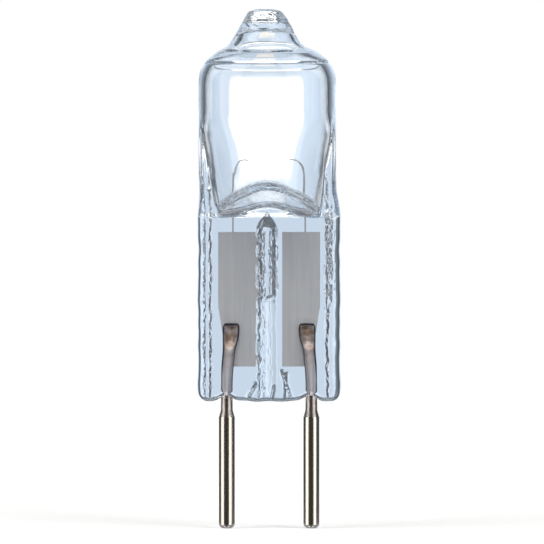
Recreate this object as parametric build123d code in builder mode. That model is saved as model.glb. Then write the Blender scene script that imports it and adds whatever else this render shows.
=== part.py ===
from build123d import *
import math
import os

# Halogen capsule lamp with a two-pin base, standing on the ends of its pins.
# The lamp axis is +Z. The origin lies midway between the free ends of the pins.
# The pins stand apart along X, and the flat faces of the pinch seal look along -Y and +Y.
# All sizes are in millimetres.

# Contact pins and the shanks that enter the glass
pin_spacing = 6.35
pin_diameter = 1.2
pin_length = 8.45
pin_end_chamfer = 0.3
neck_height = 0.62
shank_diameter = 0.88
bare_shank = 0.5

# Flattened lead ends inside the pinch
lead_depth = 5.88
lead_toe_in = 0.3
lead_flat_width = 0.96
lead_flat_thickness = 0.58
lead_paddle_width = 1.26
lead_paddle_thickness = 0.48
lead_paddle_length = 1.2
lead_taper_length = 0.5

# Sealing foils
foil_width = 2.85
foil_thickness = 0.03
foil_offset = 0.2
foil_margin = 0.65
foil_cover = 1.54
foil_lead_overlap = 3.27
foil_trim_width = 0.75
foil_trim_height = 4.5

# Filament
wire_diameter = 0.21
wire_side_count = 6
coil_diameter = 1.3
coil_pitch = 0.45
coil_turns = 7
coil_rise = 4.48
tail_length = 0.95
leg_offset = 0.32
leg_foil_overlap = 1.1
leg_lean_height = 2.6
leg_lean_radius = 0.6
leg_bend_radius = 0.75

# Pinch seal
pinch_width = 10.74
pinch_height = 14.25
pad_thickness = 2.6
bead_width = 0.95
bead_rise = 0.6
bead_edge_radius = 0.45
bead_fade_height = 2.2
bead_end_width = 0.65
bead_end_thickness = 0.8
bead_end_depth = 0.3
rib_width = 1.5
rib_rise = 0.4
rib_slope_height = 1.05
pinch_corner_radius = 0.75
pinch_foot_radius = 1.2
scallop_width = 2.2
scallop_depth = 0.36

# Bulb, dome and exhaust tip
bulb_diameter = 10.32
bulb_wall = 0.56
bulb_straight = 9.665
shoulder_rise = 1.95
shoulder_foot_radius = 0.6
dome_lip = 0.28
tip_base_diameter = 5.76
tip_neck_radius = 0.8
tip_height = 2.97
tip_end_diameter = 2.48
tip_end_radius = 0.6

# Gas space
ceiling_drop = 1.15
ceiling_bevel = 0.92
funnel_wall = 0.58
funnel_height = 2.95
funnel_top_diameter = 0.9
floor_slot = 0.6
floor_hump_height = 0.7
floor_hump_width = 4.4

# Share of a step that each of its two rounded edges takes up
edge_softness = 0.45

# Clearances
weld_gap = 0.005
seal_gap = 0.03

# Heights and radii that follow from the sizes above
pin_radius = pin_diameter / 2
shank_radius = shank_diameter / 2
neck_top = pin_length + neck_height
pinch_bottom = neck_top + bare_shank
pinch_top = pinch_bottom + pinch_height
lead_end = pinch_bottom + lead_depth
foil_bottom = lead_end - foil_lead_overlap
foil_top = pinch_top - foil_cover
foil_outer = pin_spacing / 2 + foil_margin
foil_inner = foil_outer - foil_width
pad_half = pad_thickness / 2
bead_half = pad_half + bead_rise
rib_half = pad_half + rib_rise
bead_x = (pinch_width - bead_width) / 2
bulb_radius = bulb_diameter / 2
gas_radius = bulb_radius - bulb_wall
shoulder_top = pinch_top + shoulder_rise
dome_start = pinch_top + bulb_straight
tip_base_radius = tip_base_diameter / 2
dome_center = tip_base_radius - dome_lip
dome_radius = bulb_radius - dome_center
dome_sweep = math.degrees(math.acos(dome_lip / dome_radius))
tip_base = dome_start + math.sqrt(dome_radius**2 - dome_lip**2)
lamp_height = tip_base + tip_height
ceiling = tip_base - ceiling_drop
funnel_radius = tip_base_radius - funnel_wall
shoulder_slope = (bulb_radius - pad_half) / shoulder_rise
gas_lift = bulb_wall * math.hypot(1, shoulder_slope) / shoulder_slope
gas_floor = pinch_top + gas_lift + (floor_slot / 2 - pad_half) / shoulder_slope
scallop_radius = scallop_width**2 / (8 * scallop_depth) + scallop_depth / 2
wire_radius = wire_diameter / 2
coil_radius = coil_diameter / 2
coil_length = coil_pitch * coil_turns
coil_height = pinch_top + coil_rise
coil_bottom = coil_height - coil_radius
tail_height = coil_bottom + wire_radius / 2
leg_x = (foil_inner + foil_outer) / 2 + leg_offset
leg_y = foil_offset + foil_thickness + weld_gap + wire_radius
leg_top_x = coil_length / 2 + tail_length
leg_bottom = foil_top - leg_foil_overlap
sides = (("left", -1), ("right", 1))

os.makedirs("parts", exist_ok=True)


def lead_shank(side, gap):
    """Shank of a lead from its neck to its flattened end, grown all round by a gap."""
    taper_start = foil_bottom - lead_taper_length
    paddle_start = lead_end - lead_paddle_length
    flats = (
        (foil_bottom, lead_flat_width, lead_flat_thickness),
        (paddle_start - lead_taper_length, lead_flat_width, lead_flat_thickness),
        (paddle_start, lead_paddle_width, lead_paddle_thickness),
        (lead_end + gap, lead_paddle_width, lead_paddle_thickness),
    )
    with BuildPart() as shank:
        with BuildSketch(Plane.XY.offset(neck_top)):
            with Locations((side * pin_spacing / 2, 0)):
                Circle(shank_radius + gap)
        extrude(amount=taper_start - neck_top)
        for height, width, thickness in flats:
            toe = lead_toe_in * (height - taper_start) / (lead_end - taper_start)
            back = foil_offset - weld_gap - thickness / 2
            with BuildSketch(Plane.XY.offset(height)):
                with Locations((side * (pin_spacing / 2 - toe), back)):
                    Rectangle(width + 2 * gap, thickness + 2 * gap)
        loft(ruled=True)
        loft(shank.faces().filter_by(Axis.Z).group_by(Axis.Z)[1:3], ruled=True)
    return shank.part


for name, side in sides:
    with BuildPart() as lead_pin:
        with BuildSketch(Plane.XZ.move(Location((side * pin_spacing / 2, 0, 0)))) as pin_profile:
            with BuildLine():
                Polyline(
                    (0, 0),
                    (pin_radius, 0),
                    (pin_radius, pin_length),
                    (shank_radius, neck_top),
                    (0, neck_top),
                    close=True,
                )
            make_face()
            chamfer(pin_profile.vertices().group_by(Axis.Y)[0].sort_by(Axis.X)[-1], pin_end_chamfer)
        revolve(axis=Axis((side * pin_spacing / 2, 0, 0), (0, 0, 1)))
        add(lead_shank(side, 0))
    lead_pin.part.label = f"{name}_lead_pin"
    export_step(lead_pin.part, f"parts/{name}_lead_pin.step")

foils = []
for name, side in sides:
    with BuildPart() as foil:
        with BuildSketch(Plane.XZ.offset(-foil_offset)):
            with BuildLine():
                Polyline(
                    (side * foil_inner, foil_bottom),
                    (side * (foil_outer - foil_trim_width), foil_bottom),
                    (side * foil_outer, foil_bottom + foil_trim_height),
                    (side * foil_outer, foil_top),
                    (side * foil_inner, foil_top),
                    close=True,
                )
            make_face()
        extrude(amount=-foil_thickness)
    foil.part.label = f"{name}_foil"
    foils.append(foil.part)
    export_step(foil.part, f"parts/{name}_foil.step")

with BuildPart() as filament:
    with BuildLine() as coil_line:
        Helix(coil_pitch, coil_length, coil_radius, (coil_length / 2, 0, coil_height), (-1, 0, 0))
    with BuildSketch(Plane(origin=coil_line.line @ 0, z_dir=coil_line.line % 0)):
        RegularPolygon(wire_radius, wire_side_count, major_radius=False)
    sweep(path=coil_line.line, is_frenet=True)
    for name, side in sides:
        with BuildLine() as leg_line:
            FilletPolyline(
                (side * leg_x, leg_y, leg_bottom),
                (side * leg_x, leg_y, tail_height - leg_lean_height),
                (side * leg_top_x, 0, tail_height),
                (side * (coil_length / 2 - wire_radius), 0, tail_height),
                radius=(leg_lean_radius, leg_bend_radius),
            )
        with BuildSketch(Plane(origin=leg_line.line @ 0, z_dir=leg_line.line % 0)):
            RegularPolygon(wire_radius, wire_side_count, major_radius=False)
        sweep(path=leg_line.line)
filament.part.label = "filament"
export_step(filament.part, "parts/filament.step")

with BuildPart() as gas_space:
    with BuildSketch(Plane.XZ) as gas_profile:
        with BuildLine():
            Polyline(
                (0, pinch_top),
                (gas_radius, pinch_top),
                (gas_radius, ceiling),
                (funnel_radius, ceiling),
                (funnel_top_diameter / 2, ceiling + funnel_height),
                (0, ceiling + funnel_height),
                close=True,
            )
        make_face()
        chamfer(gas_profile.vertices().group_by(Axis.Y)[1].sort_by(Axis.X)[-1], ceiling_bevel)
    revolve(axis=Axis.Z)
    with BuildSketch(Plane.YZ):
        with BuildLine():
            wedge = (
                (floor_slot / 2, gas_floor),
                (bulb_radius, shoulder_top + gas_lift),
                (bulb_radius, lamp_height),
            )
            Polyline(*wedge, *[(-y, z) for y, z in reversed(wedge)], close=True)
        make_face()
    extrude(amount=bulb_radius, both=True, mode=Mode.INTERSECT)
    with BuildSketch(Plane.XZ):
        with BuildLine():
            hump = ThreePointArc(
                (-floor_hump_width / 2, gas_floor),
                (0, gas_floor + floor_hump_height),
                (floor_hump_width / 2, gas_floor),
            )
            Line(hump @ 1, hump @ 0)
        make_face()
    extrude(amount=bulb_radius, both=True, mode=Mode.SUBTRACT)

with BuildPart() as bulb:
    with BuildSketch(Plane.XZ) as bulb_profile:
        with BuildLine():
            dome = CenterArc((dome_center, dome_start), dome_radius, 0, dome_sweep)
            Polyline(
                dome @ 1,
                (tip_end_diameter / 2, lamp_height),
                (0, lamp_height),
                (0, pinch_top - bulb_wall),
                (bulb_radius, pinch_top - bulb_wall),
                dome @ 0,
            )
        make_face()
        fillet(bulb_profile.vertices().group_by(Axis.Y)[-1].sort_by(Axis.X)[-1], tip_end_radius)
        fillet(bulb_profile.vertices().sort_by_distance(dome @ 1)[0], tip_neck_radius)
    revolve(axis=Axis.Z)
    with BuildSketch(Plane.YZ) as shoulder_profile:
        with BuildLine():
            wedge = (
                (pad_half, pinch_top - bulb_wall),
                (pad_half, pinch_top),
                (bulb_radius + bulb_wall, shoulder_top + bulb_wall / shoulder_slope),
                (bulb_radius + bulb_wall, lamp_height + bulb_wall),
            )
            Polyline(*wedge, *[(-y, z) for y, z in reversed(wedge)], close=True)
        make_face()
        fillet(shoulder_profile.vertices().group_by(Axis.Y)[1], shoulder_foot_radius)
    extrude(amount=bulb_radius, both=True, mode=Mode.INTERSECT)

with BuildPart() as pinch:
    with BuildSketch(Plane.XY.offset(pinch_bottom)) as section:
        Rectangle(pinch_width, pad_thickness)
        Rectangle(rib_width, 2 * rib_half)
        with Locations((-bead_x, 0), (bead_x, 0)):
            Rectangle(bead_width, 2 * bead_half)
        fillet(section.vertices().group_by(Axis.X)[0], bead_edge_radius)
        fillet(section.vertices().group_by(Axis.X)[-1], bead_edge_radius)
        bead_feet = section.vertices().filter_by(lambda corner: rib_width < abs(corner.X) < bead_x)
        fillet(bead_feet, edge_softness * bead_rise)
        rib_feet = section.vertices().filter_by(lambda corner: abs(corner.X) < rib_width)
        fillet(rib_feet, edge_softness * rib_rise)
    extrude(amount=pinch_height)
    with BuildSketch(Plane.YZ):
        with BuildLine():
            Polyline(
                (pad_half, pinch_top),
                (rib_half, pinch_top - rib_slope_height),
                (rib_half, pinch_top),
                close=True,
            )
        make_face()
        mirror(about=Plane.YZ)
    extrude(amount=bead_x - bead_width / 2, both=True, mode=Mode.SUBTRACT)
    for name, side in sides:
        with BuildSketch(Plane.XY.offset(pinch_top)):
            with Locations((side * bead_x, 0)):
                RectangleRounded(bead_width, 2 * bead_half, bead_edge_radius)
        with BuildSketch(Plane.XY.offset(pinch_top + bead_fade_height)):
            with Locations((side * (bulb_radius - bead_end_depth - bead_end_width / 2), 0)):
                RectangleRounded(bead_end_width, bead_end_thickness, edge_softness * bead_end_width)
        loft(ruled=True)
    with BuildSketch(Plane.XZ) as pinch_front:
        with Locations((0, pinch_bottom)):
            Rectangle(pinch_width, pinch_height + bead_fade_height, align=(Align.CENTER, Align.MIN))
        fillet(pinch_front.vertices().group_by(Axis.Y)[0], pinch_corner_radius)
        for name, side in sides:
            with Locations((side * pin_spacing / 2, pinch_bottom + scallop_depth - scallop_radius)):
                Circle(scallop_radius, mode=Mode.SUBTRACT)
    extrude(amount=bead_half, both=True, mode=Mode.INTERSECT)
    with BuildSketch(Plane.YZ) as pinch_side:
        with Locations((0, pinch_bottom)):
            Rectangle(2 * bead_half, pinch_height + bead_fade_height, align=(Align.CENTER, Align.MIN))
        fillet(pinch_side.vertices().group_by(Axis.Y)[0], pinch_foot_radius)
    extrude(amount=pinch_width / 2, both=True, mode=Mode.INTERSECT)

with BuildPart() as quartz_envelope:
    add(bulb.part)
    add(pinch.part)
    add(gas_space.part, mode=Mode.SUBTRACT)
    for foil_part in foils:
        add(foil_part, mode=Mode.SUBTRACT)
    for name, side in sides:
        add(lead_shank(side, seal_gap), mode=Mode.SUBTRACT)
        with BuildSketch(Plane.XY.offset(leg_bottom - seal_gap)):
            with Locations((side * leg_x, leg_y)):
                Circle(wire_radius + seal_gap)
        extrude(amount=gas_floor + floor_slot - leg_bottom, mode=Mode.SUBTRACT)
quartz_envelope.part.label = "quartz_envelope"
export_step(quartz_envelope.part, "parts/quartz_envelope.step")
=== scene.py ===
"""Looks of a halogen capsule lamp, laid out as an add-on that builds each piece around the CAD frame."""

import math

import bmesh
import bpy
import numpy as np
from bpy.props import FloatProperty, FloatVectorProperty, IntProperty, PointerProperty
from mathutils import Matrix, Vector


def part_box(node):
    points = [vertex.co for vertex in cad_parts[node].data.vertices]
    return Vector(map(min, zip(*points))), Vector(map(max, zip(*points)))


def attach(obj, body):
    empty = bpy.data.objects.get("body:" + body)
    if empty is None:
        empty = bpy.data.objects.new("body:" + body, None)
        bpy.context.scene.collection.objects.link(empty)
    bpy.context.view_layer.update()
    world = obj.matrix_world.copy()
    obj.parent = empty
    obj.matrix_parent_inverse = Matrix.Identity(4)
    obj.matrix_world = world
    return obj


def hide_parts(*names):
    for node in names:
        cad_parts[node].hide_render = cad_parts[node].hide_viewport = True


bl_info = {
    "name": "Halogen Capsule Lamp",
    "version": (1, 0, 0),
    "blender": (4, 5, 0),
    "location": "3D View > Sidebar > Lamp",
    "description": "Builds a clear quartz capsule lamp, its foils, pins and filament, and a studio around it",
    "category": "Object",
}

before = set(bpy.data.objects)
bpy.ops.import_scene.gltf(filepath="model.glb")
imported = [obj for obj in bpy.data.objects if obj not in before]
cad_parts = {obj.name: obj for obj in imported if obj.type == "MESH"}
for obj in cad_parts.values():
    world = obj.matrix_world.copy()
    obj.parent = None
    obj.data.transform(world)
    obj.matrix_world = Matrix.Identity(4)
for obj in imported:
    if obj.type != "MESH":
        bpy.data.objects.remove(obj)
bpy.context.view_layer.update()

MM = 0.001


def node_box(node):
    """Lowest and highest corner of a CAD node, in millimetres."""
    low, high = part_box(node)
    return np.array(low) / MM, np.array(high) / MM


# Corners of the CAD pieces, in millimetres
GLASS_LOW, GLASS_HIGH = node_box("quartz_envelope")
PIN_LOW, PIN_HIGH = node_box("right_lead_pin")
WIRE_LOW, WIRE_HIGH = node_box("filament")
FOIL_BACK = node_box("right_foil")[1][1]

# Bulb and gas space, in millimetres
BULB_RADIUS = GLASS_HIGH[1]
BULB_SHIFT = -0.13
WALL = 0.56
GAS_SHIFT = -0.18
GAS_STRAIGHT = 9.4
CEILING_CREASE = 0.05

# Pinch and shoulder, with lengths in millimetres
GLASS_BOTTOM = GLASS_LOW[2]
FOOT_HEIGHT = 0.55
FOOT_CORNER = 0.75
PINCH_HALF = GLASS_HIGH[0]
PINCH_TOP = GLASS_BOTTOM + 14.25
PAD_HALF = 1.3
EDGE_DEPTH = 2.6
EDGE_POWER = 3.2
FOOT_POWER = 3.0
ROUND_POWER = 2.0
SHOULDER_FOOT = PINCH_TOP - 0.1
SHOULDER_ARCH = 0.6
SHOULDER_ARCH_WIDTH = 1.8
SHOULDER_STEP = 0.3
SHOULDER_SLOPE = 2.85
SHOULDER_TOP = PINCH_TOP + 1.95

# Flat fins that run up the sides of the bulb from the pinch, with lengths in millimetres
FIN_FOOT = 3.78
FIN_SPREAD = 0.19
FIN_BOW = 0.0085
FIN_FLARE = 0.05
FIN_FLARE_START = 4.0
FIN_POWER = 2.6
FIN_SOFTNESS = 0.025
FIN_SWELL = 0.1

# Relief of the pressed faces: places across a face and heights over it, with lengths in millimetres
LEFT_BEAD_INNER = 4.38
LEFT_BEAD_OUTER = 4.86
LEFT_BEAD_RISE = 0.36
LEFT_BEAD_FALL = 0.26
LEFT_BEAD_EDGE = 0.12
RIGHT_BEAD_INNER = 4.34
RIGHT_BEAD_RISE = 0.42
RIGHT_BEAD_EDGE = 0.14
RIB_MIDDLE = -0.17
RIB_HALF = 0.72
RIB_WAIST = GLASS_BOTTOM + 7.73
RIB_POINT = 1.25
FRONT_RELIEF = 1.0
BACK_RELIEF = 0.25
FINE_WAVES = (8.0, 20.0)
STROKE_WIDTH = 0.04
CUT_DEPTH = 0.36
RIDGE_HEIGHT = 0.06
NOTCH_HEIGHT = 0.36
NOTCH_WIDTH = 0.62

# Flow marks over the foot: start and end across and up the face, width and height, in millimetres
FLOW_MARKS = (
    ((1.75, 0.0), (0.95, 2.2), 0.08, 0.3),
    ((1.1, 0.0), (1.3, 2.1), 0.07, 0.28),
    ((-1.75, 0.0), (-1.0, 1.3), 0.1, 0.26),
    ((0.1, 0.0), (0.35, 1.1), 0.1, 0.26),
)

# Dome and melted tip, with lengths in millimetres
GLASS_TOP = round(GLASS_HIGH[2], 2)
DOME_START = GLASS_TOP - 5.8
TIP_FOOT = GLASS_TOP - 2.6
TIP_LEAN = 0.15
FUNNEL_LEAN = 0.05
SWIRL_HEIGHT = GLASS_TOP - 0.9
SWIRL_SHIFT = 0.25
SWIRL_PITCH = 0.45
SWIRL_SQUASH = 1.7
SWIRL_WIDTH = 0.1
SWIRL_DEPTH = 0.018

# Outlines of the dome and of the ceiling of the gas space: radius and depth below the top, in millimetres
DOME = (
    (4.47, 3.8),
    (4.1, 3.47),
    (3.6, 3.13),
    (3.1, 2.9),
    (2.74, 2.64),
    (2.46, 2.28),
    (2.16, 1.7),
    (1.76, 1.0),
    (1.4, 0.38),
    (1.1, 0.14),
    (0.55, 0.02),
    (0.0, 0.1),
)
CEILING = (
    (4.08, 4.2),
    (3.76, 3.91),
    (3.32, 3.62),
    (2.82, 3.39),
    (2.35, 3.04),
    (1.98, 2.57),
    (1.67, 1.97),
    (1.2, 1.6),
    (0.0, 1.45),
)

# Filament, in millimetres: the CAD box lies a wire inset outside the middle of the wire
WIRE_INSET = 0.11
COIL_LENGTH = 3.16
LEG_GAP = 0.005

# Bends of a leg: inset from its side in millimetres, share of its set-back, millimetres below the coil
LEG_BENDS = (
    (0.0, 1.0, 3.2),
    (0.02, 0.6, 1.8),
    (0.06, 0.0, 0.7),
    (0.26, 0.0, 0.18),
    (0.7, 0.0, 0.0),
)

# Lead pins, in millimetres: heights are above the free end of a pin
PIN_SPACING = 6.35
PIN_X = PIN_SPACING / 2
PIN_RADIUS = (PIN_HIGH[1] - PIN_LOW[1]) / 2
NECK_START, NECK_END = 8.4, 8.52
TOE_START, TOE_END, TOE_IN = 11.2, 14.8, 0.32
STAIN_START, STAIN_END = 11.5, 14.5
STEM_END, STEM_HALF = 13.3, 0.46
PADDLE_START, PADDLE_HALF = 14.4, 0.61
CROWN_START, CROWN_END = 15.12, 15.3
DISH_START, DISH_END = (13.3, 14.2), (14.95, 15.25)
DISH_DEPTH = 0.17

# Pin below its neck: height, and how far the side is drawn in, in millimetres
PIN_SHOULDER = ((8.36, 0.0), (8.43, 0.02), (8.46, 0.05))

# Lead from the neck to its flattened end: height, half width, half depth, toe-in, set-back and squareness
LEAD = (
    (8.52, 0.55, 0.55, 0.0, 0.0, 2.0),
    (8.68, 0.5, 0.5, 0.0, 0.0, 2.0),
    (8.9, 0.45, 0.45, 0.0, 0.0, 2.0),
    (9.2, 0.44, 0.44, 0.0, 0.0, 2.0),
    (11.0, 0.43, 0.42, 0.01, 0.0, 2.0),
    (12.2, 0.46, 0.31, 0.06, -0.1, 2.4),
    (13.4, 0.48, 0.29, 0.17, -0.1, 2.6),
    (14.3, 0.6, 0.25, 0.29, -0.06, 3.0),
    (14.9, 0.63, 0.24, 0.32, -0.05, 3.2),
    (15.25, 0.6, 0.22, 0.33, -0.04, 3.2),
    (15.42, 0.48, 0.16, 0.33, -0.03, 3.0),
)
LEAD_END = (15.44, 0.0, 0.0, 0.33, -0.03, 2.0)

# Studio, in millimetres
FLOOR_REACH = 120.0
FLOOR_FADE_START, FLOOR_FADE_END = 20.0, 90.0
AIM_X, AIM_Z = 0.218, 19.27
CARD_Y = 9.0

# Light in the room: degrees round the lamp from straight behind it, and brightness
BACKDROP_LEVELS = (
    (-48, 0.08),
    (-36, 0.24),
    (-24, 0.4),
    (-16, 0.85),
    (-11, 1.2),
    (-7, 1.16),
    (-3, 1.0),
    (3, 1.0),
    (7, 1.24),
    (11, 1.25),
    (16, 1.0),
    (24, 0.6),
    (34, 0.3),
    (44, 0.1),
)
SHEET_LEVELS = ((68, 0.1), (84, 0.9), (96, 0.9), (112, 0.68), (138, 0.68), (160, 0.8), (180, 1.0))

# Brightness beside the light panels, and of the pale ground and the dark bands of the room
DIM, DARK, FAINT = 0.1, 0.07, 0.05
GROUND_LEVEL, BACK_LEVEL, FRONT_LEVEL = 0.75, 0.16, 0.3

# Degrees over which the sides of the room, the lit ceiling and the pale ground set in
SIDE_START, SIDE_END = 33, 42
CEILING_START, CEILING_END = 30, 42
GROUND_START, GROUND_END = -6, -13

# Dark bands in the room: degrees above the level, and how far the band covers what is there
BACK_BAND = ((-34, 0.0), (-25, 1.0), (-12, 1.0), (-6, 0.0), (14, 0.0), (29, 0.92))
FRONT_BAND = ((-62, 0.0), (-55, 1.0), (-38, 1.0), (-32, 0.0))

WHITE = (1.0, 1.0, 1.0)
WARM = (1.0, 0.97, 0.9)
LIGHT_BOUNCES = 32


# Curves and waves


def smooth_step(low, high, value):
    """Rises smoothly from 0 at low to 1 at high."""
    share = np.clip((value - low) / (high - low), 0, 1)
    return share * share * (3 - 2 * share)


def smooth_min(first, second, radius):
    """The smaller of two heights, with the crease between them rounded over a radius."""
    share = np.clip(0.5 + 0.5 * (second - first) / np.maximum(radius, 1e-6), 0, 1)
    return second + (first - second) * share - radius * share * (1 - share)


def soft_ramp(value, softness):
    """The value where it is over 0, and 0 below, with the bend between them rounded."""
    return softness * np.logaddexp(0, value / softness)


def bell(value, middle, width):
    """A smooth bump of height 1."""
    return np.exp(-(((value - middle) / width) ** 2))


def ripple(value, seed, slow=1.2, quick=7.0, waves=6):
    """Smooth irregular wave of about unit height along a length in millimetres."""
    phases = np.random.default_rng(seed).uniform(0, 2 * math.pi, waves)
    rates = np.geomspace(slow, quick, waves)
    total = sum(np.sin(rate * value + phase) for rate, phase in zip(rates, phases))
    return total / math.sqrt(waves)


def smooth_curve(points, count):
    """Points on a smooth curve through the given points."""
    points = np.array(points, float)
    ends = np.vstack((2 * points[0] - points[1], points, 2 * points[-1] - points[-2]))
    places = np.linspace(0, len(points) - 1, count)
    index = np.minimum(places.astype(int), len(points) - 2)
    t = (places - index)[:, None]
    a, b, c, d = (ends[index + step] for step in range(4))
    return 0.5 * (2 * b + (c - a) * t + (2 * a - 5 * b + 4 * c - d) * t**2 + (3 * b - a - 3 * c + d) * t**3)


def corner_curve(radius, low, end, count):
    """Points of a wall that leaves the straight ever faster, from a height up to an end point."""
    share = np.linspace(0, 1, count)
    return np.stack((radius - (radius - end[0]) * share**3, low + (end[1] - low) * share), axis=1)


def corner_inset(lift, radius):
    """How far a rounded lower corner draws a side in, at a height over the foot."""
    return radius - math.sqrt(radius**2 - max(radius - lift, 0) ** 2)


# Meshes


def angles_round(columns):
    """Angles of the columns of a ring."""
    return np.linspace(0, 2 * math.pi, columns, endpoint=False)


def ring_points(x, y, z):
    """Points of a ring, with one height or a height for each."""
    return np.stack((x, y, np.broadcast_to(z, x.shape)), axis=1)


def grid_faces(rows, columns, start, outward):
    """Faces between rings of a grid that closes round on itself."""
    row, column = np.meshgrid(np.arange(rows - 1), np.arange(columns), indexing="ij")
    after = (column + 1) % columns
    low, high = row * columns + start, (row + 1) * columns + start
    corners = (low + column, low + after, high + after, high + column)
    faces = np.stack([corner.ravel() for corner in corners], axis=1)
    return faces if outward else faces[:, ::-1]


def mesh_piece(name, shells, materials):
    """Object made of closed shells, each given by its rings, whether it faces outward, and its material."""
    vertices, faces, picks, start = [], [], [], 0
    for rings, outward, pick in shells:
        rows, columns = rings.shape[:2]
        vertices.append(rings.reshape(-1, 3) * MM)
        shell_faces = grid_faces(rows, columns, start, outward)
        faces.append(shell_faces)
        picks.append(np.full(len(shell_faces), pick))
        start += rows * columns
    mesh = bpy.data.meshes.new(name)
    mesh.from_pydata(np.vstack(vertices).tolist(), [], np.vstack(faces).tolist())
    for material in materials:
        mesh.materials.append(material)
    mesh.polygons.foreach_set("material_index", np.concatenate(picks).astype(np.int32))
    work = bmesh.new()
    work.from_mesh(mesh)
    bmesh.ops.remove_doubles(work, verts=work.verts, dist=1e-8)
    for face in work.faces:
        face.smooth = True
    work.to_mesh(mesh)
    work.free()
    mesh.set_sharp_from_angle(angle=math.radians(50))
    piece = bpy.data.objects.new(name, mesh)
    bpy.context.scene.collection.objects.link(piece)
    return piece


def tube_rings(path, radius, sides):
    """Rings of points round a path, closed to a point at each end."""
    path = np.array(path, float)
    tangents = np.gradient(path, axis=0)
    tangents /= np.linalg.norm(tangents, axis=1)[:, None]
    normal = np.cross(tangents[0], (0.3, 1.0, 0.2))
    angles = angles_round(sides)
    rings = [np.repeat(path[:1], sides, axis=0)]
    for point, tangent in zip(path, tangents):
        normal = normal - tangent * normal.dot(tangent)
        normal /= np.linalg.norm(normal)
        other = np.cross(tangent, normal)
        rings.append(point + radius * (np.cos(angles)[:, None] * normal + np.sin(angles)[:, None] * other))
    rings.append(np.repeat(path[-1:], sides, axis=0))
    return np.array(rings)


# Shader nodes


def feed_inputs(tree, node, inputs):
    """Link each named input to the output that feeds it, or hold it at a value."""
    for name, value in inputs.items():
        if isinstance(value, bpy.types.NodeSocket):
            tree.links.new(value, node.inputs[name])
        else:
            node.inputs[name].default_value = value


def add_node(tree, kind, inputs, **options):
    """A shader node with its options and inputs."""
    node = tree.nodes.new(f"ShaderNode{kind}")
    for name, option in options.items():
        setattr(node, name, option)
    feed_inputs(tree, node, inputs)
    return node


def add_math(tree, operation, *values):
    """Result of an operation on outputs and numbers."""
    return add_node(tree, "Math", dict(enumerate(values)), operation=operation).outputs["Value"]


def add_range(tree, value, low, high, start=0.0, end=1.0, curve="LINEAR"):
    """A value carried over from the range low to high to the range start to end."""
    inputs = {"Value": value, "From Min": low, "From Max": high, "To Min": start, "To Max": end}
    return add_node(tree, "MapRange", inputs, interpolation_type=curve).outputs["Result"]


def add_blend(tree, share, first, second):
    """A colour between two colours."""
    inputs = {"Factor": share, "A": first, "B": second}
    return add_node(tree, "Mix", inputs, data_type="RGBA").outputs["Result"]


def add_noise(tree, vector, scale, detail=2.0):
    """Irregular clouds from 0 to 1."""
    return add_node(tree, "TexNoise", {"Vector": vector, "Scale": scale, "Detail": detail}).outputs["Fac"]


def add_streaks(tree, vector, shorten, scale, detail=2.0):
    """Irregular clouds drawn out along the lamp."""
    stretch = add_node(tree, "Mapping", {"Vector": vector, "Scale": (1.0, 1.0, shorten)})
    return add_noise(tree, stretch.outputs["Vector"], scale, detail)


def add_ramp(tree, place, stops, curve="LINEAR"):
    """Colours along a value, each with its place from 0 to 1."""
    ramp = add_node(tree, "ValToRGB", {"Fac": place})
    ramp.color_ramp.interpolation = curve
    elements = ramp.color_ramp.elements
    while len(elements) < len(stops):
        elements.new(0.5)
    for element, (position, colour) in zip(elements, stops):
        element.position = position
        element.color = colour
    return ramp.outputs["Color"]


def opaque(colour, level=1.0):
    """Four channels of a colour at a brightness."""
    return (*(level * value for value in colour), 1.0)


def new_material(name):
    """A material with its node tree, its main shader and places in the object's own frame."""
    material = bpy.data.materials.new(name)
    material.use_nodes = True
    tree = material.node_tree
    return material, tree, tree.nodes["Principled BSDF"], add_node(tree, "TexCoord", {}).outputs["Object"]


def colour_property(name, description, default):
    """A colour that a user can change."""
    return FloatVectorProperty(
        name=name, description=description, subtype="COLOR", size=3, min=0.0, max=1.0, default=default
    )


# Relief of the pressed faces


def flow_mark(x, lift, start, end, width, height):
    """A ridge along a straight line over the face."""
    run, rise = end[0] - start[0], end[1] - start[1]
    share = np.clip(((x - start[0]) * run + (lift - start[1]) * rise) / (run**2 + rise**2), 0, 1)
    away = np.hypot(x - start[0] - share * run, lift - start[1] - share * rise)
    return height * bell(away, 0, width)


def strokes(x, z, middle, seed, count, spread, height):
    """Fine upright cuts and low ridges that start and stop along the lamp, crowded round a place."""
    dice = np.random.default_rng(seed)
    total = 0
    for stroke in range(count):
        place = middle + dice.uniform(-spread, spread) + 0.03 * ripple(z, seed + 20 + stroke, 2.0, 10.0)
        rise = np.clip(ripple(z, seed + 40 + stroke, 2.5, 12.0), 0, 1)
        total = total + dice.choice((-1, 1)) * rise * bell(x, place, STROKE_WIDTH)
    return np.clip(height * total, -CUT_DEPTH, RIDGE_HEIGHT)


def left_bead(x, z, seed):
    """Height of the left bead, a strip up the face with a lower strip outside it."""
    inner = LEFT_BEAD_INNER + 0.05 * ripple(z, seed) + 0.025 * ripple(z, seed + 4, *FINE_WAVES)
    outer = LEFT_BEAD_OUTER + 0.04 * ripple(z, seed + 5) + 0.02 * ripple(z, seed + 6, *FINE_WAVES)
    strip = LEFT_BEAD_RISE * smooth_step(inner - LEFT_BEAD_EDGE, inner + LEFT_BEAD_EDGE, -x)
    strip = strip - LEFT_BEAD_FALL * smooth_step(outer - LEFT_BEAD_EDGE, outer + LEFT_BEAD_EDGE, -x)
    inner_cuts = strokes(x, z, -LEFT_BEAD_INNER - 0.04, seed + 100, 4, 0.06, 0.286)
    outer_cuts = strokes(x, z, -LEFT_BEAD_OUTER + 0.02, seed + 110, 3, 0.05, 0.26)
    return strip + inner_cuts + outer_cuts


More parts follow.
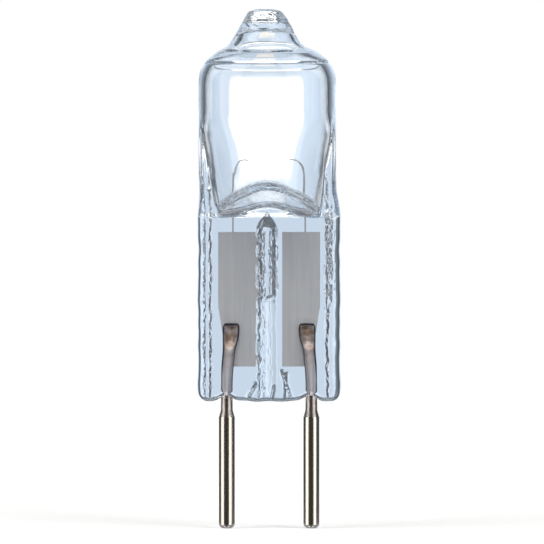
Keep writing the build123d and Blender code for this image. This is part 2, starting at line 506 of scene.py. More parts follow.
def right_bead(x, z, seed):
    """Height of the right bead, a broad strip that is rough on its upper part."""
    inner = RIGHT_BEAD_INNER + 0.05 * ripple(z, seed + 1) + 0.03 * ripple(z, seed + 7, *FINE_WAVES)
    strip = RIGHT_BEAD_RISE * smooth_step(inner - RIGHT_BEAD_EDGE, inner + RIGHT_BEAD_EDGE, x)
    start = smooth_step(RIB_WAIST - 1.5, RIB_WAIST + 1.1, z)
    rough = start * (1 - smooth_step(PINCH_TOP - 0.4, PINCH_TOP + 0.8, z))
    inner_cuts = strokes(x, z, RIGHT_BEAD_INNER - 0.04, seed + 200, 8, 0.12, 0.338) * (0.2 + 0.8 * rough)
    outer_cuts = strokes(x, z, RIGHT_BEAD_INNER + 0.24, seed + 210, 6, 0.12, 0.312) * rough
    return strip + inner_cuts + outer_cuts


def middle_rib(x, z, seed):
    """Height of the middle rib: narrow at its waist, higher and rough over it, and pointed at its top."""
    upper = smooth_step(RIB_WAIST - 0.3, RIB_WAIST + 0.5, z)
    point = np.clip((PINCH_TOP + 0.1 - z) / RIB_POINT, 0.02, 1)
    middle = RIB_MIDDLE + 0.03 * ripple(z, seed + 2)
    half = (RIB_HALF - 0.2 * bell(z, RIB_WAIST, 0.28) + 0.04 * ripple(z, seed + 3)) * point
    left_slope = np.clip((x - middle + half) / ((0.26 + 0.24 * upper) * point), 0, 1)
    right_slope = np.clip((middle + half - x) / ((0.9 - 0.4 * upper) * point), 0, 1)
    body = (0.5 + 0.4 * upper) * point * smooth_min(left_slope, right_slope, 0.3)
    left_cuts = strokes(x, z, RIB_MIDDLE - 0.43, seed + 300, 15, 0.28, 0.364) * (0.3 + 0.7 * upper)
    right_cuts = strokes(x, z, RIB_MIDDLE + 0.47, seed + 400, 15, 0.28, 0.364) * upper
    return body + (left_cuts + right_cuts) * (1 - smooth_step(PINCH_TOP - 1.5, PINCH_TOP - 1.1, z))


def pinch_relief(x, z, face):
    """Height of the beads, the rib and the flow marks over the pads of the front or back face."""
    seed, height = (11, FRONT_RELIEF) if face < 0 else (57, BACK_RELIEF)
    beads = left_bead(x, z, seed) + right_bead(x, z, seed)
    fade = 1 - smooth_step(PINCH_TOP - 0.5, PINCH_TOP + 5, z)
    marks = sum(flow_mark(x, z - GLASS_BOTTOM, *mark) for mark in FLOW_MARKS)
    return height * (beads * fade + middle_rib(x, z, seed) + marks)


# Outside of the quartz envelope


def shoulder_foot(x):
    """Height at which the pressed face starts to flare into the bulb, arched over the middle."""
    return SHOULDER_FOOT + SHOULDER_ARCH * bell(x, 0, SHOULDER_ARCH_WIDTH)


def fin_edge(z):
    """Half width of the hollow part of the bulb between the fins."""
    rise = z - PINCH_TOP
    flare = FIN_FLARE * np.maximum(rise - FIN_FLARE_START, 0) ** 2
    return FIN_FOOT + FIN_SPREAD * rise - FIN_BOW * rise**2 + flare


def fin_profile(x, z):
    """Share of its full depth that the bulb keeps at a place between the fins, a little over 1 high up."""
    swell = 1 + FIN_SWELL * smooth_step(PINCH_TOP + 3, PINCH_TOP + 9, z)
    return swell * soft_ramp(1 - np.abs(x / fin_edge(z)) ** FIN_POWER, FIN_SOFTNESS)


def outer_half(x, z, width, face):
    """Half thickness of the glass at a point of its front or back."""
    bulb = smooth_step(PINCH_TOP - 0.7, SHOULDER_TOP - 0.4, z)
    foot = 1 - smooth_step(GLASS_BOTTOM, GLASS_BOTTOM + 2.5, z)
    power = EDGE_POWER + (ROUND_POWER - EDGE_POWER) * bulb + (FOOT_POWER - EDGE_POWER) * foot
    depth = EDGE_DEPTH + (BULB_RADIUS - EDGE_DEPTH) * bulb
    rounded = depth * (1 - np.clip(np.abs(x / width), 0, 1) ** power) ** (1 / power)
    step = SHOULDER_STEP * smooth_step(PINCH_TOP - 0.38, PINCH_TOP - 0.08, z)
    ramp = SHOULDER_SLOPE * soft_ramp(z - shoulder_foot(x), 0.1)
    hollow = (BULB_RADIUS - PAD_HALF - step) * fin_profile(x, z)
    flare = smooth_min(ramp, hollow, 0.15 * np.clip(ramp, 0.01, 1))
    return smooth_min(rounded, PAD_HALF + pinch_relief(x, z, face) + step + flare, 0.25)


def pinch_columns(count):
    """Places across a face of the pinch, from 1 to -1, closest together over the beads and the rib."""
    share = np.linspace(-1, 1, 2001)
    crowd = 0.42 + bell(share, -0.02, 0.15) + bell(share, -0.87, 0.1) + bell(share, 0.83, 0.11)
    total = np.cumsum(crowd)
    return np.interp(np.linspace(1, 0, count), (total - total[0]) / (total[-1] - total[0]), share)


def pinch_rings(columns):
    """Rings of the pinch with its rounded foot, of the shoulder and of the straight part of the bulb."""
    t = angles_round(columns)
    across = pinch_columns(columns // 2 + 1)
    pressed = np.concatenate((across[:-1], across[:0:-1]))
    shoulder_start, shoulder_end, straight_end = 14.0, 17.2, 23.6
    foot_rows = FOOT_HEIGHT * (1 - np.cos(np.linspace(0, math.pi / 2, 8)))
    pinch_rows = np.linspace(FOOT_HEIGHT, shoulder_start, 112)[1:]
    shoulder_rows = np.linspace(shoulder_start, shoulder_end, 36)[1:]
    straight_rows = np.linspace(shoulder_end, straight_end, 9)[1:]
    rings = []
    for lift in np.concatenate((foot_rows, pinch_rows, shoulder_rows, straight_rows)):
        z = GLASS_BOTTOM + lift
        bulb = smooth_step(PINCH_TOP + 0.2, SHOULDER_TOP + 0.8, z)
        width = PINCH_HALF + (BULB_RADIUS - PINCH_HALF) * smooth_step(PINCH_TOP - 0.2, SHOULDER_TOP, z)
        width = width + (0.025 * ripple(z, 3, 0.8, 4.0) - 0.03) * (1 - bulb)
        width = width - corner_inset(lift, FOOT_CORNER)
        x = width * ((1 - bulb) * pressed + bulb * np.cos(t))
        close = math.sqrt(1 - (1 - min(lift / FOOT_HEIGHT, 1)) ** 2)
        y = close * np.where(t <= math.pi, outer_half(x, z, width, 1), -outer_half(x, z, width, -1))
        notch = NOTCH_HEIGHT * (bell(x, PIN_X, NOTCH_WIDTH) + bell(x, -PIN_X, NOTCH_WIDTH))
        scallop = (notch + 0.05 * ripple(x, 5, 1.0, 4.0)) * (1 - smooth_step(0, 2.4, lift))
        shift = BULB_SHIFT * smooth_step(PINCH_TOP, SHOULDER_TOP + 1, z)
        rings.append(ring_points(x + shift, y, z + scallop))
    return rings


def heights_from_top(outline):
    """An outline with its depths below the top of the lamp turned into heights."""
    radius, depth = np.array(outline).T
    return np.stack((radius, GLASS_TOP - depth), axis=1)


def tip_lean(z):
    """How far the sideways lean of the tip has grown at a height."""
    return smooth_step(TIP_FOOT - 0.9, TIP_FOOT + 0.2, z)


def tip_share(t, radius, z):
    """Share of its radius that the melted tip keeps round a ring, with its ripples and sunken swirl."""
    ridge = 1 + 0.012 * ripple(z, 21, 3.0, 14.0) * smooth_step(TIP_FOOT, TIP_FOOT + 0.8, z)
    lobes = 0.015 * np.sin(3 * t + 2.2 * z) * smooth_step(TIP_FOOT - 0.2, TIP_FOOT + 1.0, z)
    across, up = radius * np.cos(t) + SWIRL_SHIFT, SWIRL_SQUASH * (z - SWIRL_HEIGHT)
    away = np.hypot(across, up)
    width = SWIRL_WIDTH * np.hypot(across, SWIRL_SQUASH * up) / np.maximum(away, 0.01)
    grooves = sum(bell(away, SWIRL_PITCH * number, width) for number in (1, 2, 3))
    return ridge * (1 + lobes - SWIRL_DEPTH * grooves * (1 + 0.4 * np.sin(2 * t + 5 * z)))


def dome_rings(columns):
    """Rings of the dome and the melted tip, closest together over the swirl of the tip."""
    t = angles_round(columns)
    dome = heights_from_top(DOME)
    fine = smooth_curve(dome, 801)
    crowd = 0.35 + smooth_step(TIP_FOOT + 0.5, TIP_FOOT + 0.9, fine[:, 1])
    total = np.cumsum(crowd * np.hypot(*np.gradient(fine, axis=0).T))
    picks = np.interp(np.linspace(total[0], total[-1], 66), total, np.arange(801)).round().astype(int)
    rings = []
    for radius, z in np.vstack((corner_curve(BULB_RADIUS, DOME_START, dome[0], 18), fine[picks[1:]])):
        radius = max(radius, 0)
        reach = radius * tip_share(t, radius, z)
        shift = BULB_SHIFT - TIP_LEAN * tip_lean(z)
        rings.append(ring_points(reach * np.cos(t) + shift, reach * np.sin(t), z))
    return rings


# Gas space


def wedge_rings(columns, gas_radius):
    """Rings of the gas space from the wedge between the pressed walls to the end of the straight wall."""
    t = angles_round(columns)
    pressed = np.where(t < math.pi, 1 - 2 * t / math.pi, 2 * t / math.pi - 3)
    floor_height, wedge_height, corner = 0.3, 3.0, 0.7
    floor_rows = floor_height * np.linspace(0, 1, 12) ** 2
    wedge_rows = np.linspace(floor_height, wedge_height, 38)[1:]
    straight_rows = np.linspace(wedge_height, GAS_STRAIGHT, 12)[1:]
    rings = []
    for lift in np.concatenate((floor_rows, wedge_rows, straight_rows)):
        bulb = smooth_step(0.6, wedge_height, lift)
        width = smooth_min(gas_radius, fin_edge(SHOULDER_FOOT + lift), 0.1) - corner_inset(lift, corner)
        x = width * ((1 - bulb) * pressed + bulb * np.cos(t))
        hump = (shoulder_foot(x) - SHOULDER_FOOT) * (1 - smooth_step(0.6, 5.0, lift))
        z = SHOULDER_FOOT + lift + hump
        rise = np.maximum(z - shoulder_foot(x), 0)
        wedge = SHOULDER_SLOPE * rise**2 / (rise + 0.1)
        round_half = np.sqrt(np.clip(gas_radius**2 - x**2, 0, None))
        fin_half = gas_radius * fin_profile(x, z)
        hollow = smooth_min(round_half, fin_half, 0.1 * np.minimum(fin_half, 1))
        half = np.maximum(smooth_min(hollow, wedge, 0.2 * np.minimum(wedge, 1)), 0)
        rings.append(ring_points(x + GAS_SHIFT, np.where(t <= math.pi, half, -half), z))
    return rings


def ceiling_rings(columns, gas_radius):
    """Rings of the gas space from its straight wall over the creased ceiling to the end of the funnel."""
    t = angles_round(columns)
    ceiling = heights_from_top(CEILING)
    corner = corner_curve(gas_radius, SHOULDER_FOOT + GAS_STRAIGHT, ceiling[0], 16)
    corner[-1] -= CEILING_CREASE
    rings = []
    for radius, z in np.vstack((corner, smooth_curve(ceiling, 42)[1:])):
        radius = max(radius, 0)
        shift = GAS_SHIFT - FUNNEL_LEAN * tip_lean(z)
        rings.append(ring_points(radius * np.cos(t) + shift, radius * np.sin(t), z))
    return rings


# Quartz envelope


class QuartzSettings(bpy.types.PropertyGroup):
    """Wall and look of the glass."""

    wall: FloatProperty(
        name="Wall Thickness",
        description="Thickness of the wall of the bulb",
        unit="LENGTH",
        min=0.0001,
        default=WALL * MM,
    )
    tint: colour_property("Tint", "Colour that thick glass takes on", (0.085, 0.4565, 0.838))
    tint_density: FloatProperty(
        name="Tint Density",
        description="How fast the glass takes light away along its path, per metre",
        min=0.0,
        default=12.0,
    )
    index: FloatProperty(name="Refractive Index", description="Index of fused quartz", min=1.0, default=1.458)
    wave_scale: FloatProperty(
        name="Wave Scale",
        description="How closely the waves of the surface lie together, per metre",
        min=0.0,
        default=600.0,
    )
    wave_strength: FloatProperty(
        name="Wave Strength",
        description="How strongly the waves of the surface bend light",
        subtype="FACTOR",
        min=0.0,
        max=1.0,
        default=0.3,
    )


def quartz_material(settings):
    """Clear fused quartz with a faint blue cast and the slight waves of hot-worked glass."""
    material, tree, shader, place = new_material("quartz")
    waves = add_noise(tree, place, settings.wave_scale)
    hollows = {"Strength": settings.wave_strength, "Distance": 0.02 * MM, "Height": waves}
    bump = add_node(tree, "Bump", hollows)
    cast = {"Color": opaque(settings.tint), "Density": settings.tint_density}
    absorb = add_node(tree, "VolumeAbsorption", cast)
    inputs = {
        "Base Color": add_ramp(tree, waves, ((0.0, (0.99, 0.995, 1.0, 1.0)), (1.0, opaque(WHITE)))),
        "Transmission Weight": 1.0,
        "IOR": settings.index,
        "Roughness": 0.0,
        "Normal": bump.outputs["Normal"],
    }
    feed_inputs(tree, shader, inputs)
    feed_inputs(tree, tree.nodes["Material Output"], {"Volume": absorb.outputs["Volume"]})
    return material


class LAMP_OT_build_envelope(bpy.types.Operator):
    """Build the glass with its bulb, pinch seal and gas space"""

    bl_idname = "lamp.build_envelope"
    bl_label = "Build Quartz Envelope"

    def execute(self, context):
        settings = context.scene.lamp_quartz
        gas_radius = BULB_RADIUS - settings.wall / MM
        outside = np.array(pinch_rings(320) + dome_rings(320))
        gas_space = np.array(wedge_rings(112, gas_radius) + ceiling_rings(112, gas_radius))
        shells = ((outside, True, 0), (gas_space, False, 0))
        glass = mesh_piece("glass_envelope", shells, [quartz_material(settings)])
        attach(glass, "root")
        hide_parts("quartz_envelope")
        return {"FINISHED"}


# Filament


class FilamentSettings(bpy.types.PropertyGroup):
    """Sizes and look of the filament."""

    wire: FloatProperty(
        name="Wire Diameter",
        description="Diameter of the drawn wire",
        unit="LENGTH",
        min=0.00002,
        default=0.00012,
    )
    coil_length: FloatProperty(
        name="Coil Length",
        description="Length of the coil across the bulb",
        unit="LENGTH",
        min=0.0005,
        default=COIL_LENGTH * MM,
    )
    turns: IntProperty(name="Turns", description="Turns of the coil", min=2, default=7)
    glow: colour_property("Glow", "Colour of the lit coil", (1.0, 0.93, 0.82))
    strength: FloatProperty(
        name="Glow Strength", description="Brightness of the lit coil", min=0.0, default=1.3
    )


def tungsten_material(name, tones, glow, strength):
    """Drawn tungsten wire between two tones, which may glow."""
    material, tree, shader, place = new_material(name)
    stops = [(end, (level, 0.96 * level, 0.92 * level, 1.0)) for end, level in enumerate(tones)]
    inputs = {
        "Base Color": add_ramp(tree, add_noise(tree, place, 9000.0), stops),
        "Metallic": 1.0,
        "Roughness": 0.35,
        "Emission Color": opaque(glow),
        "Emission Strength": strength,
    }
    feed_inputs(tree, shader, inputs)
    return material


def filament_shells(radius, coil_half, turns):
    """Shells of the coil and of the two legs that carry it, with the coil's and the legs' materials."""
    coil_radius = (WIRE_HIGH[1] - WIRE_LOW[1]) / 2 - WIRE_INSET
    coil_height = WIRE_HIGH[2] - WIRE_INSET - coil_radius
    coil_low = coil_height - coil_radius
    angle = np.linspace(-math.pi / 2, 2 * math.pi * turns - math.pi / 2, turns * 28 + 1)
    along = np.linspace(-coil_half, coil_half, len(angle))
    coil = ring_points(along, coil_radius * np.cos(angle), coil_height + coil_radius * np.sin(angle))
    shells = [(tube_rings(coil, radius, 10), True, 0)]
    leg_x = WIRE_HIGH[0] - WIRE_INSET
    leg_y = FOIL_BACK + radius + LEG_GAP
    path = [(leg_x, leg_y, WIRE_LOW[2])]
    for inset, back, depth in LEG_BENDS:
        path.append((leg_x - inset, leg_y * back, coil_low - depth))
    path.append((coil_half, 0.0, coil_low))
    for side in (-1, 1):
        leg = smooth_curve(path, 60) * (side, 1, 1)
        shells.append((tube_rings(leg, radius, 10), True, 1))
    return shells


class LAMP_OT_build_filament(bpy.types.Operator):
    """Build the coil and the legs that carry it"""

    bl_idname = "lamp.build_filament"
    bl_label = "Build Filament"

    def execute(self, context):
        settings = context.scene.lamp_filament
        lit = tungsten_material("tungsten_lit", (0.16, 0.34), settings.glow, settings.strength)
        plain = tungsten_material("tungsten", (0.5, 0.75), settings.glow, 0.0)
        shells = filament_shells(settings.wire / MM / 2, settings.coil_length / MM / 2, settings.turns)
        wire = mesh_piece("filament_wire", shells, [lit, plain])
        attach(wire, "root")
        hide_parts("filament")
        return {"FINISHED"}


# Lead pins


class PinSettings(bpy.types.PropertyGroup):
    """Sizes and look of the contact pins."""

    plating: colour_property("Plating", "Colour of the bright contact pin", (0.56, 0.515, 0.47))
    neck: colour_property("Neck", "Colour of the dull neck between the pin and the glass", (0.4, 0.36, 0.35))
    shank: colour_property("Shank", "Colour of the lead inside the glass", (0.66, 0.62, 0.64))
    burn: colour_property("Burn", "Colour of the lead where welding has stained it", (0.3, 0.19, 0.12))
    # Near-black colour painted on the sides and top end of the lead inside the glass: painted shade for the
    # dark outline that the gap between lead and glass shows
    gap: colour_property(
        "Gap", "Colour of the edges of the lead where the glass has drawn away from it", (0.05, 0.05, 0.06)
    )
    radius: FloatProperty(
        name="Pin Radius",
        description="Radius of the straight part of a pin",
        unit="LENGTH",
        min=0.0001,
        default=PIN_RADIUS * MM,
    )
    end_radius: FloatProperty(
        name="End Rounding",
        description="Radius of the free end of a pin",
        unit="LENGTH",
        min=0.0,
        default=0.0004,
    )


def lead_edge_shade_mask(tree, axes):
    """How near a place on the lead is to its sides or its top end, from 0 to 1: the mask of the painted shade
    on the lead's edges.
    """
    middle = add_range(tree, axes["Z"], TOE_START * MM, TOE_END * MM, PIN_X * MM, (PIN_X - TOE_IN) * MM)
    half = add_range(tree, axes["Z"], STEM_END * MM, PADDLE_START * MM, STEM_HALF * MM, PADDLE_HALF * MM)
    away = add_math(tree, "SUBTRACT", add_math(tree, "ABSOLUTE", axes["X"]), middle)
    share = add_math(tree, "ABSOLUTE", add_math(tree, "DIVIDE", away, half))
    crown = add_range(tree, axes["Z"], CROWN_START * MM, CROWN_END * MM)
    return add_math(tree, "MAXIMUM", add_range(tree, share, 0.68, 0.92), crown)


def pin_material(settings):
    """Bright drawn plating that gives way to a dull, stained lead above the neck, with painted shade
    darkening the sides and top end of the lead inside the glass.
    """
    material, tree, shader, place = new_material("lead_pin")
    axes = add_node(tree, "SeparateXYZ", {"Vector": place}).outputs
    dull = add_range(tree, axes["Z"], NECK_START * MM, NECK_END * MM)
    sealed = add_range(tree, axes["Z"], (GLASS_BOTTOM + 0.1) * MM, (GLASS_BOTTOM + 0.5) * MM)
    clouds = add_noise(tree, place, 2200.0, 3.0)
    weld = add_range(tree, axes["Z"], STAIN_START * MM, STAIN_END * MM)
    stain = add_math(tree, "MULTIPLY", weld, add_range(tree, clouds, 0.4, 0.62, 0.45))
    # Painted shade: the sides and top end of the lead inside the glass are darkened to near black
    edge_shade_mask = add_math(tree, "MULTIPLY", lead_edge_shade_mask(tree, axes), sealed)
    colour = opaque(settings.plating)
    for share, layer in (
        (dull, settings.neck),
        (sealed, settings.shank),
        (stain, settings.burn),
        (edge_shade_mask, settings.gap),
    ):
        colour = add_blend(tree, share, colour, opaque(layer))
    drawn = add_range(tree, add_streaks(tree, place, 0.06, 9000.0), 0.0, 1.0, 0.16, 0.28)
    dents = add_node(tree, "Bump", {"Strength": dull, "Distance": 0.03 * MM, "Height": clouds})
    inputs = {
        "Base Color": colour,
        "Metallic": 1.0,
        "Roughness": add_node(tree, "Mix", {"Factor": dull, "A": drawn, "B": 0.34}).outputs["Result"],
        "Normal": dents.outputs["Normal"],
    }
    feed_inputs(tree, shader, inputs)
    return material


def pin_rings(side, pin_radius, end_radius, columns):
    """Rings of a pin with its rounded end, of its neck and of its flattened and dished lead."""
    t = angles_round(columns)
    rows = [(0.0, 0.0, 0.0, 0.0, 0.0, 2.0)]
    for angle in np.linspace(0, math.pi / 2, 9):
        radius = pin_radius - end_radius + end_radius * math.sin(angle)
        rows.append((end_radius * (1 - math.cos(angle)), radius, radius, 0.0, 0.0, 2.0))
    for height, inset in PIN_SHOULDER:
        rows.append((height, pin_radius - inset, pin_radius - inset, 0.0, 0.0, 2.0))
    rows.extend(smooth_curve(LEAD, 56).tolist())
    rows.append(LEAD_END)
    rings = []
    for z, half_x, half_y, toe, back, power in rows:
        x = half_x * np.sign(np.cos(t)) * np.abs(np.cos(t)) ** (2 / power)
        y = half_y * np.sign(np.sin(t)) * np.abs(np.sin(t)) ** (2 / power)
        dish = DISH_DEPTH * smooth_step(*DISH_START, z) * (1 - smooth_step(*DISH_END, z))
        y = np.where(y < 0, y + dish * np.clip(1 - (x / (0.75 * half_x + 0.01)) ** 2, 0, None), y)
        rings.append(ring_points(x + side * (PIN_X - toe), y + back, z))
    return np.array(rings)


class LAMP_OT_build_pins(bpy.types.Operator):
    """Build the contact pins and the leads that run from them into the glass"""

    bl_idname = "lamp.build_pins"
    bl_label = "Build Lead Pins"

    def execute(self, context):
        settings = context.scene.lamp_pins
        material = pin_material(settings)
        for name, side in (("left", -1), ("right", 1)):
            rings = pin_rings(side, settings.radius / MM, settings.end_radius / MM, 48)
            pin = mesh_piece(f"{name}_contact", [(rings, True, 0)], [material])
            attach(pin, "root")
            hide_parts(f"{name}_lead_pin")
        return {"FINISHED"}


# Foils


class FoilSettings(bpy.types.PropertyGroup):
    """Look of the sealing foils."""

    colour: colour_property("Colour", "Colour of the rolled foil", (0.8, 0.79, 0.8))


def foil_material(settings):
    """Matt rolled foil with faint streaks along the lamp."""
    material, tree, shader, place = new_material("foil")
    streaks = add_streaks(tree, place, 0.05, 3500.0, 4.0)
    inputs = {
        "Base Color": add_blend(tree, streaks, opaque(settings.colour, 0.86), opaque(settings.colour, 1.14)),
        "Metallic": 0.0,
        "Specular IOR Level": 0.2,
        "Roughness": 0.6,
    }
    feed_inputs(tree, shader, inputs)
    return material


class LAMP_OT_finish_foils(bpy.types.Operator):
    """Give the sealing foils their finish"""

    bl_idname = "lamp.finish_foils"
    bl_label = "Finish Foils"

    def execute(self, context):
        material = foil_material(context.scene.lamp_foil)
        for name in ("left_foil", "right_foil"):
            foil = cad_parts[name]
            foil.data.materials.clear()
            foil.data.materials.append(material)
        return {"FINISHED"}


# Studio


class StudioSettings(bpy.types.PropertyGroup):
    """Camera and light."""

    elevation: FloatProperty(
        name="Camera Height",
        description="Angle of the camera above the level",
        subtype="ANGLE",
        default=math.radians(1.5),
    )
    distance: FloatProperty(
        name="Camera Distance",
        description="From the camera to the lamp",
        unit="LENGTH",
        min=0.05,
        default=0.4,
    )
    view_width: FloatProperty(
        name="View Width",
        description="Width of the picture at the lamp",
        unit="LENGTH",
        min=0.001,
        default=0.04084,
    )
    floor: colour_property("Floor", "Colour of the floor", (0.93, 0.93, 0.93))
    backdrop: colour_property(
        "Backdrop", "Colour of the backdrop that shows through the glass", (0.61, 0.72, 0.85)
    )
    lamp: colour_property("Panel Colour", "Colour of the side panels", (1.0, 0.97, 0.92))
    panel: FloatProperty(
        name="Light Panels", description="Brightness of the two side panels", min=0.0, default=2.4
    )
    glow: FloatProperty(
        name="Back Glow", description="Brightness of the light behind the bulb", min=0.0, default=2.0
    )


def room_ring(tree, share, left, right, side_colour, backdrop):
    """Light round the lamp, with the backdrop between the levels of its left and right sides."""
    stops = []
    for levels, colour in ((left, side_colour), (BACKDROP_LEVELS, backdrop), (right, side_colour)):
        stops += [(0.5 + degrees / 360, opaque(colour, level)) for degrees, level in levels]
    return add_ramp(tree, share, stops)


def sine(degrees):
    """Height of a direction above the level, from -1 to 1."""
    return math.sin(math.radians(degrees))


def dark_band(tree, tall, levels):
    """How far a dark band covers the room at each height."""
    stops = [(0.5 + sine(degrees) / 2, opaque(WHITE, cover)) for degrees, cover in levels]
    return add_ramp(tree, tall, stops, "EASE")


def studio_world(settings):
    """White to the camera, and to the lamp a dark room with a lit backdrop and two light panels."""
    world = bpy.data.worlds.new("studio")
    world.use_nodes = True
    tree = world.node_tree
    tree.nodes.clear()
    way = add_node(tree, "TexCoord", {}).outputs["Generated"]
    axes = add_node(tree, "SeparateXYZ", {"Vector": way}).outputs
    path = add_node(tree, "LightPath", {}).outputs
    azimuth = add_math(tree, "ARCTAN2", axes["X"], axes["Y"])
    share = add_range(tree, azimuth, -math.pi, math.pi)
    tall = add_range(tree, axes["Z"], -1.0, 1.0)
    behind = add_range(tree, axes["Y"], 0.0, 0.1)
    ahead = add_range(tree, axes["Y"], 0.0, -0.1)
    aside = add_math(tree, "ABSOLUTE", azimuth)
    narrow = add_range(tree, aside, math.radians(SIDE_START), math.radians(SIDE_END), 1.0, 0.0)
    wide = add_range(tree, aside, math.radians(SIDE_START), math.radians(SIDE_END))
    high = add_range(tree, axes["Z"], sine(CEILING_START), sine(CEILING_END))
    low = add_range(tree, axes["Z"], sine(GROUND_START), sine(GROUND_END))
    backdrop, bright = settings.backdrop, settings.panel

    # Panels light the outer faces, and pale sheets show through the glass, with a lit ceiling in front
    left_panel = ((-180, FAINT), (-136, DARK), (-132, bright), (-96, bright), (-90, DIM))
    right_panel = ((104, DIM), (110, bright), (144, bright), (148, DARK), (180, FAINT))
    panels = room_ring(tree, share, left_panel, right_panel, settings.lamp, backdrop)
    pale = tuple((a + b) / 2 for a, b in zip(backdrop, settings.lamp))
    left_sheet = [(-degrees, level) for degrees, level in reversed(SHEET_LEVELS)]
    sheets = room_ring(tree, share, left_sheet, SHEET_LEVELS, pale, backdrop)
    overhead = add_math(tree, "MULTIPLY", high, ahead)
    sheets = add_blend(tree, overhead, sheets, opaque(settings.lamp, bright))
    room = add_blend(tree, path["Is Transmission Ray"], panels, sheets)

    # Pale ground behind the lamp at its sides, and dark bands behind it and in front of it
    for mask, reach, half, level, colour in (
        (low, wide, behind, GROUND_LEVEL, pale),
        (dark_band(tree, tall, BACK_BAND), narrow, behind, BACK_LEVEL, backdrop),
        (dark_band(tree, tall, FRONT_BAND), wide, ahead, FRONT_LEVEL, backdrop),
    ):
        sector = add_math(tree, "MULTIPLY", add_math(tree, "MULTIPLY", mask, reach), half)
        room = add_blend(tree, sector, room, opaque(colour, level))

    seen = add_blend(tree, path["Is Camera Ray"], room, opaque(WHITE))
    background = add_node(tree, "Background", {"Color": seen})
    add_node(tree, "OutputWorld", {"Surface": background.outputs["Background"]})
    return world


def floor_material(settings):
    """Pale floor that fades into the white surround away from the lamp."""
    material, tree, shader, place = new_material("floor")
    grain = add_noise(tree, place, 400.0)
    distance = add_node(tree, "VectorMath", {0: place}, operation="LENGTH").outputs["Value"]
    fade_start, fade_end = FLOOR_FADE_START * MM, FLOOR_FADE_END * MM
    inputs = {
        "Base Color": add_blend(tree, grain, opaque(settings.floor, 0.99), opaque(settings.floor)),
        "Roughness": 0.9,
        "Emission Color": opaque(WHITE),
        "Emission Strength": 0.5,
        "Alpha": add_range(tree, distance, fade_start, fade_end, 1.0, 0.0, "SMOOTHSTEP"),
    }
    feed_inputs(tree, shader, inputs)
    return material


def glow_material(name, width, height, colour, strength):
    """Soft-edged light card, with its half width and half height."""
    material, tree, shader, place = new_material(name)
    tree.nodes.remove(shader)
    axes = add_node(tree, "SeparateXYZ", {"Vector": place}).outputs
    masks = []
    for axis, half, full in (("X", width, 0.8), ("Z", height, 0.5)):
        away = add_math(tree, "ABSOLUTE", axes[axis])
        masks.append(add_range(tree, away, full * half, half, 1.0, 0.0, "SMOOTHSTEP"))
    clear = add_node(tree, "BsdfTransparent", {})
    light = add_node(tree, "Emission", {"Color": opaque(colour), "Strength": strength})
    mask = add_math(tree, "MULTIPLY", *masks)
    both = add_node(tree, "MixShader", {"Fac": mask, 1: clear.outputs["BSDF"], 2: light.outputs["Emission"]})
    feed_inputs(tree, tree.nodes["Material Output"], {"Surface": both.outputs["Shader"]})
    return material


def flat_sheet(name, corners, material):
    """A flat four-cornered sheet of the stage."""
    mesh = bpy.data.meshes.new(name)
    mesh.from_pydata(corners, [], [(0, 1, 2, 3)])
    mesh.materials.append(material)
    sheet = bpy.data.objects.new(name, mesh)
    bpy.context.scene.collection.objects.link(sheet)
    return sheet


def light_card(name, place, halves, colour, strength):
    """An upright card of light that only shows through the glass, placed and sized in millimetres."""
    width, height = (half * MM for half in halves)
    corners = [(-width, 0, -height), (width, 0, -height), (width, 0, height), (-width, 0, height)]
    card = flat_sheet(name, corners, glow_material(name, width, height, colour, strength))
    card.location = [value * MM for value in place]
    card.visible_camera = False
    card.visible_diffuse = False
    card.visible_glossy = False
    card.visible_shadow = False


def studio_camera(settings):
    """Camera that looks slightly down at the lamp."""
    data = bpy.data.cameras.new("camera")
    data.sensor_width = 36.0
    data.lens = data.sensor_width * settings.distance / settings.view_width
    data.clip_start = 0.01
    camera = bpy.data.objects.new("camera", data)
    back = settings.distance * math.cos(settings.elevation)
    rise = settings.distance * math.sin(settings.elevation)
    camera.location = (AIM_X * MM, -back, AIM_Z * MM + rise)
    camera.rotation_euler = (math.pi / 2 - settings.elevation, 0, 0)
    return camera


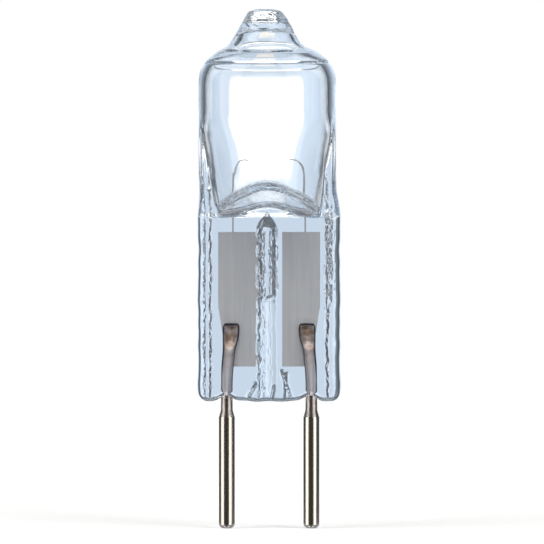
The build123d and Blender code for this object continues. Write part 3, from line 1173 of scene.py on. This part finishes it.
class LAMP_OT_build_studio(bpy.types.Operator):
    """Build the floor, the light and the camera"""

    bl_idname = "lamp.build_studio"
    bl_label = "Build Studio"

    def execute(self, context):
        scene = context.scene
        settings = scene.lamp_studio
        scene.world = studio_world(settings)
        scene.view_settings.view_transform = "Standard"
        reach = FLOOR_REACH * MM
        corners = [(-reach, -reach, 0), (reach, -reach, 0), (reach, reach, 0), (-reach, reach, 0)]
        floor = flat_sheet("floor", corners, floor_material(settings))
        floor.visible_glossy = False
        floor.visible_transmission = False
        bulb_place = (-0.1, CARD_Y, GLASS_TOP - 8.7)
        dome_place = (-0.2, CARD_Y + 0.2, GLASS_TOP + 2.0)
        tip_place = (-0.3, CARD_Y, GLASS_TOP - 2.0)
        light_card("back_glow", bulb_place, (3.6, 5.1), WHITE, settings.glow)
        light_card("dome_glow", dome_place, (7.5, 6.0), settings.backdrop, 1.1)
        light_card("tip_glow", tip_place, (1.1, 1.1), WARM, settings.glow / 2)
        camera = studio_camera(settings)
        scene.collection.objects.link(camera)
        scene.camera = camera
        scene.cycles.max_bounces = LIGHT_BOUNCES
        scene.cycles.glossy_bounces = LIGHT_BOUNCES
        scene.cycles.transmission_bounces = LIGHT_BOUNCES
        return {"FINISHED"}


class LAMP_PT_panel(bpy.types.Panel):
    """Sizes and looks of the lamp"""

    bl_idname = "LAMP_PT_panel"
    bl_label = "Halogen Lamp"
    bl_space_type = "VIEW_3D"
    bl_region_type = "UI"
    bl_category = "Lamp"

    def draw(self, context):
        for group, operator in GROUPS:
            box = self.layout.box()
            settings = getattr(context.scene, group)
            for name in settings.__annotations__:
                box.prop(settings, name)
            box.operator(operator)


GROUPS = (
    ("lamp_quartz", "lamp.build_envelope"),
    ("lamp_filament", "lamp.build_filament"),
    ("lamp_pins", "lamp.build_pins"),
    ("lamp_foil", "lamp.finish_foils"),
    ("lamp_studio", "lamp.build_studio"),
)
SETTINGS = (QuartzSettings, FilamentSettings, PinSettings, FoilSettings, StudioSettings)
CLASSES = (
    *SETTINGS,
    LAMP_OT_build_envelope,
    LAMP_OT_build_filament,
    LAMP_OT_build_pins,
    LAMP_OT_finish_foils,
    LAMP_OT_build_studio,
    LAMP_PT_panel,
)


def register():
    for item in CLASSES:
        bpy.utils.register_class(item)
    for (group, _), kind in zip(GROUPS, SETTINGS):
        setattr(bpy.types.Scene, group, PointerProperty(type=kind))


def unregister():
    for group, _ in GROUPS:
        delattr(bpy.types.Scene, group)
    for item in reversed(CLASSES):
        bpy.utils.unregister_class(item)


def main():
    register()
    bpy.ops.lamp.build_envelope()
    bpy.ops.lamp.build_filament()
    bpy.ops.lamp.build_pins()
    bpy.ops.lamp.finish_foils()
    bpy.ops.lamp.build_studio()


if __name__ == "__main__":
    main()
